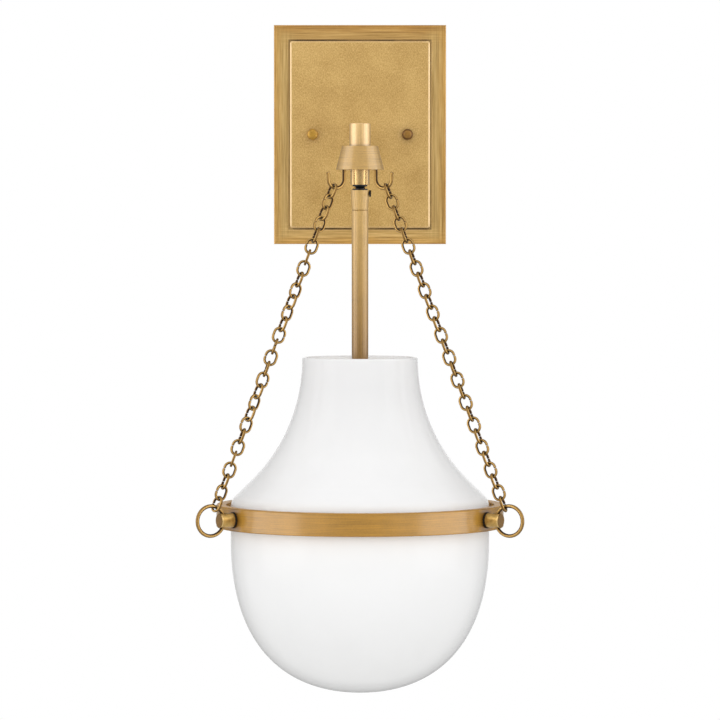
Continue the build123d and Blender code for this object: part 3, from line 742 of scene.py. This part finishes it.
def link_line(size):
    """Points and outward directions along the wire of a link, and the two points where it ends."""
    wire, width, length = size
    bend = (width - wire) / 2
    straight = (length - wire) / 2 - bend
    start = joint_gap / 2
    step = (straight - start - joint_round) / link_side_steps
    line = [((bend, start + joint_round + k * step), (1, 0)) for k in range(link_side_steps)]
    for end in (1, -1):
        for k in range(link_arc_steps + 1):
            turn = math.pi * k / link_arc_steps
            out = (end * math.cos(turn), end * math.sin(turn))
            line.append(((bend * out[0], end * straight + bend * out[1]), out))
    line += [((x, -z), out) for (x, z), out in reversed(line[:link_side_steps])]
    return line, ((bend, start), (bend, -start))


def link_shape(size):
    """Vertices, faces and side values of one link, which set its painted light and shade: a bent wire whose
    rounded ends meet in a butt joint.
    """
    line, ends = link_line(size)
    radius = size[0] / 2
    rings = [(ends[0], (1, 0), radius - joint_round)]
    rings += [(point, out, radius) for point, out in line]
    rings += [(ends[1], (1, 0), radius - joint_round)]
    verts, bend_side = [], []
    for (x, z), (out_x, out_z), reach in rings:
        for k in range(link_sides):
            turn = 2 * math.pi * k / link_sides
            out = reach * math.cos(turn)
            verts.append((reach * math.sin(turn), x + out * out_x, z + out * out_z))
            bend_side.append(math.cos(turn))
    faces = [(r * link_sides + k, r * link_sides + (k + 1) % link_sides,
              (r + 1) * link_sides + (k + 1) % link_sides, (r + 1) * link_sides + k)
             for r in range(len(rings) - 1) for k in range(link_sides)]
    last = len(verts) - link_sides
    faces += [tuple(range(link_sides))[::-1], tuple(range(last, len(verts)))]
    return verts, faces, bend_side


def tidy_mesh(mesh, sharp_angle):
    """Turns all faces outwards and smooths all but sharp edges."""
    work = bmesh.new()
    work.from_mesh(mesh)
    bmesh.ops.recalc_face_normals(work, faces=work.faces)
    work.to_mesh(mesh)
    work.free()
    mesh.shade_smooth()
    mesh.set_sharp_from_angle(angle=math.radians(sharp_angle))


def make_chain(side, finish):
    """A chain of wire links, each in the place of a link of the CAD chain, which it replaces."""
    chain = "chain_" + side
    verts, faces, bend_side = [], [], []
    for points in islands(frame["nodes"][chain].data):
        place, size = link_frame(points)
        link_verts, link_faces, link_bend_side = link_shape(size)
        first = len(verts)
        verts += [place @ Vector(v) for v in link_verts]
        faces += [tuple(first + k for k in face) for face in link_faces]
        bend_side += link_bend_side
    mesh = bpy.data.meshes.new("links_" + side)
    mesh.from_pydata(verts, [], faces)
    # The side that each point of the wire faces, which sets the links' painted light and shade
    mesh.attributes.new("bend_side", "FLOAT", "POINT").data.foreach_set("value", bend_side)
    tidy_mesh(mesh, link_sharp_angle)
    mesh.materials.append(finish)
    links = new_object("links_" + side, mesh)
    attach(links, chain)
    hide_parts(chain)


# Stage

def seen_rays(tree):
    """1 for the eye, reflections and rays through glass, and 0 for light on matt surfaces."""
    path = node(tree, "LightPath").outputs
    seen = maths(tree, "MAXIMUM", path["Is Camera Ray"], path["Is Glossy Ray"])
    return maths(tree, "MAXIMUM", seen, path["Is Transmission Ray"])


def make_world():
    """White for the eye, for reflections and through glass, and a softer white light for the rest."""
    world = bpy.data.worlds.new("studio")
    world.use_nodes = True
    tree = world.node_tree
    tree.nodes.clear()
    strength = spread(tree, seen_rays(tree), world_strength, 1.0)
    sky = node(tree, "Background", {"Color": white, "Strength": strength})
    node(tree, "OutputWorld", {"Surface": sky.outputs[0]})
    bpy.context.scene.world = world


def make_disc(name, radius, corners, upright):
    """A flat round sheet, upright across the view or level."""
    turns = [2 * math.pi * k / corners for k in range(corners)]
    rim = [(radius * math.cos(turn), radius * math.sin(turn)) for turn in turns]
    points = [(x, 0, y) if upright else (x, y, 0) for x, y in rim]
    mesh = bpy.data.meshes.new(name)
    mesh.from_pydata(points, [], [list(range(corners))])
    return new_object(name, mesh)


def make_floor():
    """A pale round floor that fades to white far from the object."""
    floor = make_disc("floor", floor_radius, floor_corners, upright=False)
    floor.location = (0.0, -axis_from_wall, floor_height)
    made, tree, shader = blank("pale_floor")
    fade = spread(tree, vectors(tree, "LENGTH", own_place(tree)), 0.0, 1.0, *floor_fade)
    share = maths(tree, "MULTIPLY", fade, seen_rays(tree))
    glow = node(tree, "Emission", {"Color": white, "Strength": 1.0}).outputs[0]
    feed(tree, shader, Base_Color=floor_colour, Roughness=0.9)
    both = node(tree, "MixShader", {0: share, 1: shader.outputs[0], 2: glow})
    tree.links.new(both.outputs[0], tree.nodes["Material Output"].inputs["Surface"])
    floor.data.materials.append(made)


def make_lights():
    """The softboxes, each seen either by reflections or by matt surfaces."""
    for name, box in softboxes.items():
        lamp = bpy.data.lights.new("softbox_" + name, "AREA")
        lamp.shape = "RECTANGLE"
        lamp.size, lamp.size_y = box["size"]
        lamp.energy = box["power"]
        made = new_object("softbox_" + name, lamp)
        made.location = box["place"]
        aim(made, light_aim)
        made.visible_glossy = box["reflects"]
        made.visible_diffuse = not box["reflects"]


def make_card(name, place, radius, glow):
    """A round upright card that only reflections see."""
    card = make_disc(name, radius, card_corners, upright=True)
    card.location = place
    made, tree, shader = blank(name)
    far = spread(tree, vectors(tree, "LENGTH", own_place(tree)), 0.0, 1.0, 0.0, radius)
    feed(tree, shader, Base_Color=black, Specular_IOR_Level=0.0)
    feed(tree, shader, Emission_Color=grey_ramp(tree, far, glow), Emission_Strength=1.0)
    card.data.materials.append(made)
    card.visible_camera = False
    card.visible_diffuse = False
    card.visible_transmission = False
    card.visible_shadow = False


def make_camera():
    """A camera far in front of the object, aimed at its axis."""
    lens = bpy.data.cameras.new("camera")
    lens.sensor_width = sensor_width
    lens.lens = sensor_width * camera_distance / picture_width
    lens.clip_end = sight_limit
    camera = new_object("camera", lens)
    camera.location = (0.0, -axis_from_wall - camera_distance, eye_height)
    aim(camera, (0.0, -axis_from_wall, picture_middle))
    bpy.context.scene.camera = camera


slot_finishes = finishes_of_slots()
dress_cad_nodes(slot_finishes, {**finishes_of_nodes(), **finishes_of_suspensions()})
for side in sides:
    make_chain(side, slot_finishes["chain_brass"])
make_world()
make_floor()
make_lights()
for card, shape in cards.items():
    make_card("reflection_card_" + card, **shape)
make_camera()
bpy.context.scene.view_settings.view_transform = "Standard"
